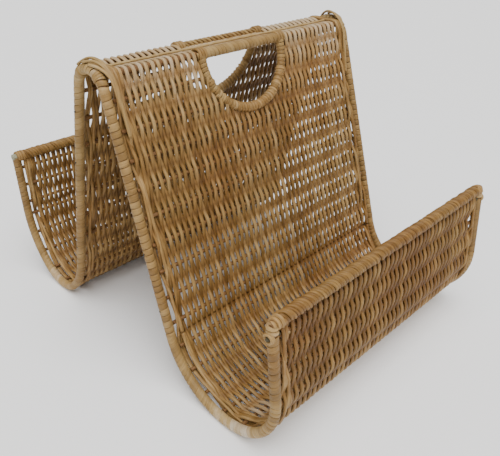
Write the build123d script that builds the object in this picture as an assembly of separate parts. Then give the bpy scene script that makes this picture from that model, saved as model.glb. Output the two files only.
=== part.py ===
from build123d import *
import math
import os

# Woven rattan magazine rack: two bent side frames, joined by cross rods that carry a
# woven sheet. Seen from the side the sheet makes an M: a trough, a ridge and a trough.
# Millimetres. X runs along the ridge, the front trough is at -Y and Z is up.
# The origin is at the middle of the base, on the surface that the rack stands on.

# ---- Side frames ----
FRAME_SPAN = 370.0            # between the centre lines of the two side frames
ROD_RADIUS = 4.2              # bare rattan rod of a side frame
WRAP_RADIUS = 5.5             # outside of the flat cane wound on it
FOOT_DEPTH = 0.4              # worn flat under each trough, where the rack stands

# ---- Side profile, from the front lip to the back lip, on the frames' centre line ----
FRONT_LIP_LEAN = 5.5          # degrees, the lip's top leans towards the ridge
FRONT_LIP_BEND = 74.0         # radius of the front trough on its lip side
FRONT_SLOPE_BEND = 86.0       # radius of the front trough on its slope side
FRONT_LEG_LEAN = 17.4         # degrees from upright
RIDGE_BEND = 24.0
BACK_LEG_LEAN = 13.7
BACK_SLOPE_BEND = 97.0
BACK_BOTTOM_BEND = 54.0
BACK_BOTTOM_TURN = 40.0       # degrees, each side of the back trough's lowest point
BACK_LIP_BEND = 103.0
BACK_LIP_LEAN = 1.3           # the lip's top leans away from the ridge
RIDGE_HEIGHT = 333.0          # centre line at the ridge, above the centre line at a foot
LIP_HEIGHT = 168.4            # the same for the two lips

# ---- Cross rods ----
CROSS_ROD_RADIUS = 2.2
RIDGE_ROD_RADIUS = 3.6
RIDGE_ROD_TURN = 41.0         # degrees round the ridge bend, each side of its top
RIDGE_ROD_LIFT = 3.5          # above the frames' centre line, so that the ridge has two rolls
LIP_ROD_PITCH = 26.0
LIP_RODS = 3
TROUGH_RODS = 8
SLOPE_RODS = {"front": 9, "back": 8}
BORDER_TO_ROD = 16.5          # from the border rod to the first rod of the lip
LIP_TO_ROD = 8.0              # from the lip's foot to the first rod of the trough
SLOPE_TO_ROD = 14.5           # from the slope's foot to the nearest rod on each side
RIDGE_TO_ROD = 11.0           # from the ridge bend to the first rod of the slope

# ---- Woven sheet ----
SHEET_HALF_WIDTH = 167.0
STRAND_RADIUS = 1.7
SHEET_LIFT = 0.8              # the rods lie this far to the upper side of the frames' centre line
FLOAT_RADIUS = 5.5            # over a rod, where half of the strands pass on each side
SHEET_GAP = 0.15              # between neighbouring stretches of the sheet

# ---- Edge strands, beside each side frame ----
EDGE_STRAND_INSET = 11.5      # from the frame's centre line
EDGE_STRAND_LIFT = 4.0        # above and below the cross rods' centre line

# ---- Borders on the two lips ----
BORDER_ROD_RADIUS = 4.0
BORDER_RADIUS = 7.2           # outside of the strands coiled on the border rod
BORDER_HALF_LENGTH = 176.0
BORDER_ROD_OVERHANG = 3.0     # beyond the side frame's centre line
BINDING_RADIUS = 5.9          # cane that ties the end of a border rod to a side frame
BINDING_GAP = 0.2

# ---- Handle holes, one in each slope ----
HOOP_BEND = 61.5              # radius of the hoop's centre line, a half circle
HOOP_MIDDLE = 6.0             # the half circle's middle, up the slope from the ridge bend's start
HOOP_LEG = 4.5                # straight ends of the hoop, above its half circle
HOLE_TOP = 12.0               # top of the cut in the sheet, up from the ridge bend's start
HOOP_ROD_RADIUS = 3.4
HOOP_RADIUS = 5.2             # outside of the cane wound on the hoop
GRIP_RADIUS = 5.8             # outside of the cane wound on the ridge rod
GRIP_HALF_LENGTH = 54.0
GRIP_CLEARANCE = 0.4

# ---- Tacks that hold the cane wraps ----
TACK_RADIUS = 1.0
TACK_DEPTH = 1.0
TACK_HEAD = 0.5
TACKS_PER_LEG = 4


# ---- The side profile as a trail of lines and bends ----
def bend_drop(radius, turn_from, turn_to):
    """Height won on a bend between two slopes, in degrees from level."""
    return radius * (math.cos(math.radians(turn_from)) - math.cos(math.radians(turn_to)))


def bend_reach(radius, turn_from, turn_to):
    """Level distance covered on the same bend."""
    return radius * (math.sin(math.radians(turn_to)) - math.sin(math.radians(turn_from)))


FRONT_LEG_SLOPE = 90 - FRONT_LEG_LEAN
BACK_LEG_SLOPE = 90 - BACK_LEG_LEAN
BACK_LIP_SLOPE = 90 - BACK_LIP_LEAN
FRONT_LIP_SLOPE = 90 + FRONT_LIP_LEAN

front_lip_start = bend_drop(FRONT_LIP_BEND, 0, FRONT_LIP_SLOPE)
front_lip_length = (LIP_HEIGHT - front_lip_start) / math.cos(math.radians(FRONT_LIP_LEAN))
front_leg_rise = RIDGE_HEIGHT - bend_drop(RIDGE_BEND, 0, FRONT_LEG_SLOPE) \
    - bend_drop(FRONT_SLOPE_BEND, 0, FRONT_LEG_SLOPE)
front_leg_length = front_leg_rise / math.cos(math.radians(FRONT_LEG_LEAN))
back_bottom_rise = bend_drop(BACK_BOTTOM_BEND, 0, BACK_BOTTOM_TURN)
back_leg_rise = RIDGE_HEIGHT - bend_drop(RIDGE_BEND, 0, BACK_LEG_SLOPE) \
    - bend_drop(BACK_SLOPE_BEND, BACK_BOTTOM_TURN, BACK_LEG_SLOPE) - back_bottom_rise
back_leg_length = back_leg_rise / math.cos(math.radians(BACK_LEG_LEAN))
back_lip_start = back_bottom_rise + bend_drop(BACK_LIP_BEND, BACK_BOTTOM_TURN, BACK_LIP_SLOPE)
back_lip_length = (LIP_HEIGHT - back_lip_start) / math.cos(math.radians(BACK_LIP_LEAN))

# Each stretch is a list of ("line", length) and ("bend", radius, turn), left turns positive.
STRETCHES = {
    "front_lip": [("line", front_lip_length)],
    "front_trough": [("bend", FRONT_LIP_BEND, FRONT_LIP_SLOPE),
                     ("bend", FRONT_SLOPE_BEND, FRONT_LEG_SLOPE)],
    "front_slope": [("line", front_leg_length)],
    "ridge": [("bend", RIDGE_BEND, -(FRONT_LEG_SLOPE + BACK_LEG_SLOPE))],
    "back_slope": [("line", back_leg_length)],
    "back_trough": [("bend", BACK_SLOPE_BEND, BACK_LEG_SLOPE - BACK_BOTTOM_TURN),
                    ("bend", BACK_BOTTOM_BEND, 2 * BACK_BOTTOM_TURN),
                    ("bend", BACK_LIP_BEND, BACK_LIP_SLOPE - BACK_BOTTOM_TURN)],
    "back_lip": [("line", back_lip_length)],
}

# The front foot's place puts the rack's front and back the same distance from the origin.
foot_to_foot = (bend_reach(FRONT_SLOPE_BEND, 0, FRONT_LEG_SLOPE)
                + front_leg_length * math.sin(math.radians(FRONT_LEG_LEAN))
                + bend_reach(RIDGE_BEND, 0, FRONT_LEG_SLOPE)
                + bend_reach(RIDGE_BEND, 0, BACK_LEG_SLOPE)
                + back_leg_length * math.sin(math.radians(BACK_LEG_LEAN))
                + bend_reach(BACK_SLOPE_BEND, BACK_BOTTOM_TURN, BACK_LEG_SLOPE)
                + bend_reach(BACK_BOTTOM_BEND, 0, BACK_BOTTOM_TURN))
front_reach = FRONT_LIP_BEND + WRAP_RADIUS
back_reach = (bend_reach(BACK_BOTTOM_BEND, 0, BACK_BOTTOM_TURN)
              + bend_reach(BACK_LIP_BEND, BACK_BOTTOM_TURN, BACK_LIP_SLOPE)
              + back_lip_length * math.sin(math.radians(BACK_LIP_LEAN)) + BORDER_RADIUS)
FRONT_FOOT_Y = -(foot_to_foot + back_reach - front_reach) / 2
BACK_FOOT_Y = FRONT_FOOT_Y + foot_to_foot
FOOT_Z = WRAP_RADIUS - FOOT_DEPTH      # centre line above the surface, at a foot
RIDGE_Z = FOOT_Z + RIDGE_HEIGHT

lip_top_y = FRONT_FOOT_Y - bend_reach(FRONT_LIP_BEND, 0, FRONT_LIP_SLOPE) \
    + front_lip_length * math.sin(math.radians(FRONT_LIP_LEAN))
TRAIL_START = Vector(lip_top_y, FOOT_Z + LIP_HEIGHT)
TRAIL_HEADING = -(90 + FRONT_LIP_LEAN)


def unit(degrees):
    return Vector(math.cos(math.radians(degrees)), math.sin(math.radians(degrees)))


def trail(offset=0.0):
    """Edges of each stretch in (Y, Z), moved to the upper side of the sheet by the offset."""
    point = TRAIL_START
    heading = TRAIL_HEADING
    stretches = {}
    for name, steps in STRETCHES.items():
        edges = []
        for step in steps:
            left = unit(heading + 90)
            start = point + left * offset
            if step[0] == "line":
                point = point + unit(heading) * step[1]
                edges.append(Edge.make_line(start, point + left * offset))
            else:
                radius, turn = step[1], step[2]
                side = math.copysign(1, turn)
                centre = point + left * radius * side
                heading += turn
                point = centre - unit(heading + 90) * radius * side
                end = point + unit(heading + 90) * offset
                middle_left = unit(heading - turn / 2 + 90)
                middle = centre - middle_left * (radius * side - offset)
                edges.append(Edge.make_three_point_arc(start, middle, end))
        stretches[name] = edges
    return stretches


FRAME_LINE = trail()
SHEET_LINE = trail(SHEET_LIFT)


def run_at(line, name, distance):
    """Point in (Y, Z) at a distance along the named stretch of a trail."""
    for edge in line[name]:
        if distance <= edge.length + 1e-6:
            return edge.position_at(min(distance / edge.length, 1.0))
        distance -= edge.length
    raise ValueError(f"{name} is shorter than that")


def length_of(line, name):
    return sum(edge.length for edge in line[name])


def across(sketch, half_width, middle=0.0):
    """Extrude a (Y, Z) face along X, about the given X."""
    return Pos(middle - half_width, 0, 0) * extrude(Plane.YZ * sketch, 2 * half_width)


def cross_rod(place, radius, half_length):
    """Round rod along X through a (Y, Z) point."""
    return across(Pos(place.X, place.Y) * Circle(radius), half_length)


# ---- Where the cross rods lie ----
def spread(first, last, count):
    return [first + i * (last - first) / (count - 1) for i in range(count)]


def rods_on(name):
    """Places of a stretch's cross rods, in the order of the trail."""
    total = length_of(SHEET_LINE, name)
    side, kind = name.split("_")
    if kind == "lip":
        distances = [BORDER_TO_ROD + i * LIP_ROD_PITCH for i in range(LIP_RODS)]
    elif kind == "trough":
        distances = spread(LIP_TO_ROD, total - SLOPE_TO_ROD, TROUGH_RODS)
    else:
        distances = spread(SLOPE_TO_ROD, total - RIDGE_TO_ROD, SLOPE_RODS[side])
    if side == "back":
        distances = [total - distance for distance in distances]
    return [run_at(SHEET_LINE, name, distance) for distance in distances]


def on_ridge(turn_from_top, lift):
    """Point on the ridge bend, in degrees towards the back from its top."""
    middle = Vector(ridge_top_y, RIDGE_Z - RIDGE_BEND)
    return middle + unit(90 - turn_from_top) * (RIDGE_BEND + lift)


ROD_PLACES = {name: rods_on(name) for name in STRETCHES if name != "ridge"}
ridge_top_y = (FRAME_LINE["ridge"][0] @ 0).X + bend_reach(RIDGE_BEND, 0, FRONT_LEG_SLOPE)
RIDGE_ROD_PLACES = {"front": on_ridge(-RIDGE_ROD_TURN, RIDGE_ROD_LIFT),
                    "back": on_ridge(RIDGE_ROD_TURN, RIDGE_ROD_LIFT)}
LIP_TOPS = {"front": FRAME_LINE["front_lip"][0] @ 0, "back": FRAME_LINE["back_lip"][0] @ 1}


# ---- Handle hoops ----
def slope_plane(side):
    """Plane of a slope: local x is the rack's X, local y points up the slope."""
    edge = SHEET_LINE[f"{side}_slope"][0]
    top, foot = (edge @ 1, edge @ 0) if side == "front" else (edge @ 0, edge @ 1)
    up = (top - foot).normalized()
    return Plane(origin=(0, top.X, top.Y), x_dir=(1, 0, 0), z_dir=Vector(0, -up.Y, up.X))


def hoop_tube(side, radius):
    """Round bar bent to a half circle with short straight legs, in the slope's plane."""
    foot = Vector(HOOP_BEND, HOOP_MIDDLE)
    far_foot = Vector(-foot.X, foot.Y)
    bow = Edge.make_three_point_arc(foot, Vector(0, HOOP_MIDDLE - HOOP_BEND), far_foot)
    path = slope_plane(side) * bow
    leg_starts = path @ 0 - (path % 0) * HOOP_LEG
    leg_ends = path @ 1 + (path % 1) * HOOP_LEG
    line = Wire([Edge.make_line(leg_starts, path @ 0), path, Edge.make_line(path @ 1, leg_ends)])
    return sweep(Plane(origin=line @ 0, z_dir=line % 0) * Circle(radius), path=line)


def handle_hole(side):
    """Plug of the opening, hoop included, which interrupts the sheet and the cross rods."""
    radius = HOOP_BEND + HOOP_RADIUS + SHEET_GAP
    bow = Pos(0, HOOP_MIDDLE) * Circle(radius) \
        - Pos(0, HOOP_MIDDLE + radius) * Rectangle(2 * radius, 2 * radius)
    above = Pos(0, (HOOP_MIDDLE + HOLE_TOP) / 2) * Rectangle(2 * radius, HOLE_TOP - HOOP_MIDDLE)
    return extrude(slope_plane(side) * (bow + above), 2 * HOOP_RADIUS, both=True)


HOLES = {side: handle_hole(side) for side in ("front", "back")}
GRIP_ROOM = {side: cross_rod(place, GRIP_RADIUS + GRIP_CLEARANCE, GRIP_HALF_LENGTH + GRIP_CLEARANCE)
             for side, place in RIDGE_ROD_PLACES.items()}


# ---- Woven sheet ----
def band(name):
    """Section of the sheet along one stretch, where the strands cross between two rods."""
    upper = trail(SHEET_LIFT + STRAND_RADIUS)[name]
    lower = trail(SHEET_LIFT - STRAND_RADIUS)[name]
    ends = [Edge.make_line(upper[0] @ 0, lower[0] @ 0),
            Edge.make_line(upper[-1] @ 1, lower[-1] @ 1)]
    return make_face(upper + lower + ends)


def disc(place, radius):
    return Pos(place.X, place.Y) * Circle(radius)


def beyond(name, at_end):
    """Block in (Y, Z) past one end of a stretch, which keeps it clear of its neighbour."""
    edge = SHEET_LINE[name][-1] if at_end else SHEET_LINE[name][0]
    point = edge @ 1 if at_end else edge @ 0
    out = edge % 1 if at_end else (edge % 0) * -1
    turn = math.degrees(math.atan2(out.Y, out.X))
    reach = 3 * FLOAT_RADIUS
    return Pos(point.X, point.Y) * Rot(0, 0, turn) * Pos(reach / 2 - SHEET_GAP, 0) * Rectangle(reach, reach)


def woven_stretch(name):
    """Sheet that swells round every rod, with a channel for each."""
    section = band(name)
    for place in ROD_PLACES[name]:
        section += disc(place, FLOAT_RADIUS)
    for place in ROD_PLACES[name]:
        section -= disc(place, CROSS_ROD_RADIUS)
    section -= beyond(name, at_end=False)
    section -= beyond(name, at_end=True)
    return across(section, SHEET_HALF_WIDTH)


def ridge_stretch():
    """Strands that pass over both ridge rods, with a valley between them."""
    front, back = RIDGE_ROD_PLACES["front"], RIDGE_ROD_PLACES["back"]
    valley_z = front.Y + STRAND_RADIUS
    middle_y = (front.X + back.X) / 2
    rod_gap = back.X - front.X
    above_rods = Pos(middle_y, valley_z + rod_gap / 2) * Rectangle(rod_gap, rod_gap + 2 * STRAND_RADIUS)
    valley = Pos(middle_y, valley_z) * Rectangle(rod_gap, 2 * STRAND_RADIUS)
    section = band("ridge") - above_rods + valley
    for place in (front, back):
        section += disc(place, RIDGE_ROD_RADIUS + 2 * STRAND_RADIUS)
    for place in (front, back):
        section -= disc(place, RIDGE_ROD_RADIUS)
    section -= beyond("ridge", at_end=False)
    section -= beyond("ridge", at_end=True)
    sheet = across(section, SHEET_HALF_WIDTH)
    for side in ("front", "back"):
        sheet = sheet - GRIP_ROOM[side] - HOLES[side]
    return sheet


sheets = {"ridge": ridge_stretch()}
for name in ROD_PLACES:
    side, kind = name.split("_")
    sheet = woven_stretch(name)
    if kind == "slope":
        sheet = sheet - HOLES[side] - cross_rod(RIDGE_ROD_PLACES[side], RIDGE_ROD_RADIUS
                                                + 2 * STRAND_RADIUS + SHEET_GAP, SHEET_HALF_WIDTH)
    if kind == "lip":
        sheet -= cross_rod(LIP_TOPS[side], BORDER_RADIUS + SHEET_GAP, SHEET_HALF_WIDTH)
    sheets[name] = sheet

# ---- Cross rods, cut where a handle hole interrupts them ----
ROD_HALF_LENGTH = FRAME_SPAN / 2 - WRAP_RADIUS - SHEET_GAP
cross_rods = {}
for name, places in ROD_PLACES.items():
    side, kind = name.split("_")
    group = [cross_rod(place, CROSS_ROD_RADIUS, ROD_HALF_LENGTH) for place in places]
    if kind == "slope":
        group = [piece for rod in group for piece in (rod - HOLES[side]).solids()]
    cross_rods[name] = Compound(children=group)

# ---- Ridge rods, grips and hoops ----
ridge_rods = {}
grip_wraps = {}
hoop_rods = {}
hoop_wraps = {}
for side, place in RIDGE_ROD_PLACES.items():
    ridge_rods[side] = cross_rod(place, RIDGE_ROD_RADIUS, ROD_HALF_LENGTH)
    grip_wraps[side] = cross_rod(place, GRIP_RADIUS, GRIP_HALF_LENGTH) - ridge_rods[side]
    rod_room = cross_rod(place, GRIP_RADIUS + GRIP_CLEARANCE, ROD_HALF_LENGTH)
    hoop_core = hoop_tube(side, HOOP_ROD_RADIUS)
    hoop_rods[side] = hoop_core - rod_room
    hoop_wraps[side] = hoop_tube(side, HOOP_RADIUS) - hoop_core - rod_room


# ---- Side frames and their cane wraps ----
def tube(path, radius):
    ring = Plane(origin=path @ 0, z_dir=path % 0) * Circle(radius)
    return sweep(ring, path=path)


def path_at(edges, x):
    """A trail's edges as a path at the given X."""
    return Pos(x, 0, 0) * (Plane.YZ * Wire(edges))


def all_edges(line):
    return [edge for edges in line.values() for edge in edges]


def tack(x, place):
    """Small nail driven into the outer side of a frame."""
    out = math.copysign(1, x)
    middle = x + out * (WRAP_RADIUS + (TACK_HEAD - TACK_DEPTH) / 2)
    return Pos(middle, place.X, place.Y) * Rot(0, 90, 0) * Cylinder(TACK_RADIUS, TACK_HEAD + TACK_DEPTH)


def short_of_border(line):
    """The frames' line, ending under the border rods."""
    trim = BORDER_ROD_RADIUS + BINDING_GAP
    front_end = run_at(line, "front_lip", trim)
    back_end = run_at(line, "back_lip", length_of(line, "back_lip") - trim)
    lips = {"front_lip": [Edge.make_line(front_end, line["front_lip"][0] @ 1)],
            "back_lip": [Edge.make_line(line["back_lip"][0] @ 0, back_end)]}
    return {name: lips.get(name, edges) for name, edges in line.items()}


FRAME_RUN = short_of_border(FRAME_LINE)
FLOOR = Pos(0, 0, -WRAP_RADIUS) * Box(2 * FRAME_SPAN, 2 * foot_to_foot + 4 * back_reach, 2 * WRAP_RADIUS)
frame_rods = {}
frame_wraps = {}
tacks = []
for hand, x in (("left", -FRAME_SPAN / 2), ("right", FRAME_SPAN / 2)):
    frame_tacks = []
    for name in ("front_slope", "back_slope"):
        step = length_of(FRAME_LINE, name) / TACKS_PER_LEG
        for i in range(TACKS_PER_LEG):
            frame_tacks.append(tack(x, run_at(FRAME_LINE, name, (i + 0.5) * step)))
    tacks += frame_tacks
    frame_rods[hand] = tube(path_at(all_edges(FRAME_RUN), x), ROD_RADIUS)
    for name in STRETCHES:
        path = path_at(FRAME_RUN[name], x)
        sleeve = tube(path, WRAP_RADIUS) - tube(path, ROD_RADIUS)
        if name.endswith("trough"):
            sleeve -= FLOOR
        elif name.endswith("slope"):
            sleeve -= frame_tacks
        frame_wraps[hand, name] = sleeve

# ---- Edge strands: one above the rods, butting against the ridge rods, one below them on each half ----
front_half = ("front_lip", "front_trough", "front_slope")
back_half = ("back_slope", "back_trough", "back_lip")
upper_line = trail(SHEET_LIFT + EDGE_STRAND_LIFT)
lower_line = trail(SHEET_LIFT - EDGE_STRAND_LIFT)
STRAND_STOPS = [cross_rod(place, BORDER_RADIUS + SHEET_GAP, FRAME_SPAN) for place in LIP_TOPS.values()]
STRAND_STOPS += [cross_rod(place, RIDGE_ROD_RADIUS + SHEET_GAP, FRAME_SPAN)
                 for place in RIDGE_ROD_PLACES.values()]
edge_strands = {}
for hand, x in (("left", -1), ("right", 1)):
    strand_x = x * (FRAME_SPAN / 2 - EDGE_STRAND_INSET)
    routes = [all_edges(upper_line)]
    for half in (front_half, back_half):
        routes.append([edge for name in half for edge in lower_line[name]])
    strands = [tube(path_at(route, strand_x), STRAND_RADIUS) - STRAND_STOPS for route in routes]
    edge_strands[hand] = Compound(children=strands)

# ---- Borders, and the cane that ties their ends to the frames ----
border_rods = {}
border_wraps = {}
bindings = {}
for side, place in LIP_TOPS.items():
    rod_end = FRAME_SPAN / 2 + BORDER_ROD_OVERHANG
    border_rods[side] = cross_rod(place, BORDER_ROD_RADIUS, rod_end)
    border_wraps[side] = cross_rod(place, BORDER_RADIUS, BORDER_HALF_LENGTH) - border_rods[side]
    binding_length = rod_end - BORDER_HALF_LENGTH - 2 * BINDING_GAP
    for hand, x in (("left", -1), ("right", 1)):
        middle = x * (BORDER_HALF_LENGTH + BINDING_GAP + binding_length / 2)
        collar = across(disc(place, BINDING_RADIUS), binding_length / 2, middle)
        frame_room = tube(path_at(FRAME_RUN[f"{side}_lip"], x * FRAME_SPAN / 2), WRAP_RADIUS + BINDING_GAP)
        bindings[side, hand] = collar - border_rods[side] - frame_room

# ---- One STEP file per node ----
os.makedirs("parts", exist_ok=True)
nodes = {"wrap_tacks": Compound(children=tacks)}
for hand in ("left", "right"):
    nodes[f"{hand}_frame_rod"] = frame_rods[hand]
    nodes[f"{hand}_edge_strands"] = edge_strands[hand]
    for name in STRETCHES:
        nodes[f"{hand}_cane_wrap_{name}"] = frame_wraps[hand, name]
for name, sheet in sheets.items():
    nodes[f"weave_{name}"] = sheet
for name, group in cross_rods.items():
    nodes[f"cross_rods_{name}"] = group
for side in ("front", "back"):
    nodes[f"{side}_ridge_rod"] = ridge_rods[side]
    nodes[f"{side}_grip_wrap"] = grip_wraps[side]
    nodes[f"{side}_handle_hoop"] = hoop_rods[side]
    nodes[f"{side}_hoop_wrap"] = hoop_wraps[side]
    nodes[f"{side}_border_rod"] = border_rods[side]
    nodes[f"{side}_border_wrap"] = border_wraps[side]
    for hand in ("left", "right"):
        nodes[f"{side}_{hand}_corner_binding"] = bindings[side, hand]
for node, shape in nodes.items():
    export_step(shape, f"parts/{node}.step")
    print(f"{node:34s} {shape.volume / 1000:9.2f} cm3")
print(f"feet at y = {FRONT_FOOT_Y:.2f} and {BACK_FOOT_Y:.2f}")
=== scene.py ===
import math

import bpy
import numpy as np
from mathutils import Matrix, Vector


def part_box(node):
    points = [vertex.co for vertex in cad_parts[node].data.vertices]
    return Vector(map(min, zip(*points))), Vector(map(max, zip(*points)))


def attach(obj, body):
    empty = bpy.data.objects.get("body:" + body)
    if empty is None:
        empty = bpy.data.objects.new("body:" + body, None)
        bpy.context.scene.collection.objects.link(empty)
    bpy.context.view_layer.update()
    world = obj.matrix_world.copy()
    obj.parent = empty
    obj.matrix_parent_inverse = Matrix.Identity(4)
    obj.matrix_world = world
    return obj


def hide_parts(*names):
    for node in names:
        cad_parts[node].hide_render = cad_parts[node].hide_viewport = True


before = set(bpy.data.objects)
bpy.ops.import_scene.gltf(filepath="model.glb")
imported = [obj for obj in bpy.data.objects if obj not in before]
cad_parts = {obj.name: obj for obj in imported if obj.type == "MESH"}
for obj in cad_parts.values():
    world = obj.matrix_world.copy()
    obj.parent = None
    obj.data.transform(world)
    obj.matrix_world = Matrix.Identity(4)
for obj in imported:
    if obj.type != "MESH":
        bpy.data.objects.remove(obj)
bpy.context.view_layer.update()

# Looks of a woven rattan magazine rack, built around its imported CAD frame. In metres: X runs along
# the ridge, the front trough lies at -Y and Z is up. Places on the woven sheet are given as a distance
# along the side profile, an x, and a lift towards the sheet's upper side. Tones run from 0, dark, to 1,
# light, and past 1 where a strand is bleached. A crest is 1 where a strand lies open, and near 0 where
# it dips into a hollow.
# Where the crest falls, the colour is darkened as painted shade and dirt in the hollows.

MM = 0.001
X_AXIS, Y_AXIS, Z_AXIS = np.eye(3)
HANDS = (("left", -1), ("right", 1))
rng = np.random.default_rng(11)

# ---- Side profile, repeated from the part's dimensions; leans and turns in degrees ----
FRONT_LIP_LEAN = 5.5
FRONT_LIP_BEND = 74 * MM
FRONT_SLOPE_BEND = 86 * MM
FRONT_LEG_LEAN = 17.4
RIDGE_BEND = 24 * MM
BACK_LEG_LEAN = 13.7
BACK_SLOPE_BEND = 97 * MM
BACK_BOTTOM_BEND = 54 * MM
BACK_BOTTOM_TURN = 40.0
BACK_LIP_BEND = 103 * MM
BACK_LIP_LEAN = 1.3
RIDGE_HEIGHT = 333 * MM
LIP_HEIGHT = 168.4 * MM
PROFILE_STEP = 0.5 * MM
STRETCH_NAMES = ("front_lip", "front_trough", "front_slope", "ridge",
                 "back_slope", "back_trough", "back_lip")

# ---- Side frames, handle hoops and grips ----
HALF_SPAN = 185 * MM
FRAME_CANE_INNER = 4.35 * MM
FRAME_CANE_OUTER = 5.5 * MM
HOOP_BEND = 61.5 * MM
HOOP_BOW = math.pi * HOOP_BEND
HOOP_MIDDLE = 6 * MM          # the middle of its half circle, above the slope's top
HOOP_LEG = 4.5 * MM
HOOP_CANE_INNER = 3.5 * MM
HOOP_CANE_OUTER = 5.2 * MM
GRIP_CANE_INNER = 3.8 * MM
GRIP_CANE_OUTER = 5.8 * MM
GRIP_WOUND_HALF = 66 * MM     # the winding covers the ridge rod past the hoop's legs

# ---- Weave ----
WEAVE_HALF_WIDTH = 165.2 * MM
WEAVERS = 84
PITCH_GROWTH = 0.045          # the weavers lie this share wider apart at the right end
RIGHT_WIDENING = 0.15         # and they are this share wider there
STRAND_HALF_WIDTH = 2.22 * MM
STRAND_HALF_HEIGHT = 1.5 * MM
AT_ROD_WIDTH = 1.10           # a strand flattens where it passes over or under a rod
BETWEEN_RODS_WIDTH = 0.97
# Between rods the crest falls to this, which darkens the strand with painted shade and dirt.
BETWEEN_RODS_CREST = 0.25
ROD_HUG = 0.72                # the strands press into a rod down to this share of its radius
BEND_SHARPNESS = 1.6          # above 1 the strands lie close together between two rods
WEAVER_TONES = (0.15, 0.95)
WEAVER_DRIFT = 0.28 * MM
WEAVER_KNOTS = 90
STEPS_PER_ROD = 10
STRAND_SIDES = 8
HEIGHT_VARIATION = 0.06
ROD_SPACING_LEAST = 8 * MM    # corners further apart than this belong to different rods
SHORTEST_RUN = 1 * MM
SAME_PLACE = 0.001 * MM       # samples closer than this to the end of a run are left out
OVER_RIDGE = 9 * MM           # the weavers beside the grips end this far past the ridge rods
VALLEY_SAG = 7.5 * MM         # between the two ridge rods
BETWEEN_GRIPS = -0.2          # between the grips the strands run from inside one winding to the other

# ---- Wear and painted shade: changes of tone along the profile ----
BLEACHED_REACH = 55 * MM      # how far from the ridge's middle the strands are paler
BLEACHED_TONE = 0.78
RIDGE_EVENNESS = 0.6          # share of the strands' own differences in tone that is lost there
MIDDLE_TONE = 0.55            # of all strands
TROUGH_SHIFT = 26 * MM        # the front trough is paler on the lip's side of its lowest point
TROUGH_REACH = 34 * MM
TROUGH_TONE = 0.7
# Painted shade: the front lip's strands are darkened by this tone.
LIP_PAINTED_SHADE = -0.42
LIP_TONE_END = 40 * MM        # the lip's painted shade has faded away this far past the front lip's stretch
LIP_TONE_FADE = 30 * MM
CANE_WEAR_REACH = 42 * MM
CANE_WEAR = {"ridge": 0.45, "front": 0.85, "back": 0.65}


# ======== The side profile as arrays ========
def rise(radius, turn_from, turn_to):
    """Height gained along an arc between two slopes, in degrees from level."""
    return radius * (math.cos(math.radians(turn_from)) - math.cos(math.radians(turn_to)))


def straight_run(height, lean):
    """Length of a straight run that gains this height and leans this far from upright."""
    return height / math.cos(math.radians(lean))


def profile_runs():
    """(stretch, straight length or bend radius, turn) of each run, from the front lip to the back."""
    front_slope = 90 - FRONT_LEG_LEAN
    back_slope = 90 - BACK_LEG_LEAN
    front_lip = 90 + FRONT_LIP_LEAN
    back_lip = 90 - BACK_LIP_LEAN
    back_bottom = rise(BACK_BOTTOM_BEND, 0, BACK_BOTTOM_TURN)
    front_leg = RIDGE_HEIGHT - rise(RIDGE_BEND, 0, front_slope) - rise(FRONT_SLOPE_BEND, 0, front_slope)
    back_leg = RIDGE_HEIGHT - rise(RIDGE_BEND, 0, back_slope) - back_bottom \
        - rise(BACK_SLOPE_BEND, BACK_BOTTOM_TURN, back_slope)
    front_lip_height = LIP_HEIGHT - rise(FRONT_LIP_BEND, 0, front_lip)
    back_lip_height = LIP_HEIGHT - back_bottom - rise(BACK_LIP_BEND, BACK_BOTTOM_TURN, back_lip)
    return [("front_lip", straight_run(front_lip_height, FRONT_LIP_LEAN), 0),
            ("front_trough", FRONT_LIP_BEND, front_lip),
            ("front_trough", FRONT_SLOPE_BEND, front_slope),
            ("front_slope", straight_run(front_leg, FRONT_LEG_LEAN), 0),
            ("ridge", RIDGE_BEND, -(front_slope + back_slope)),
            ("back_slope", straight_run(back_leg, BACK_LEG_LEAN), 0),
            ("back_trough", BACK_SLOPE_BEND, back_slope - BACK_BOTTOM_TURN),
            ("back_trough", BACK_BOTTOM_BEND, 2 * BACK_BOTTOM_TURN),
            ("back_trough", BACK_LIP_BEND, back_lip - BACK_BOTTOM_TURN),
            ("back_lip", straight_run(back_lip_height, BACK_LIP_LEAN), 0)]


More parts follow.
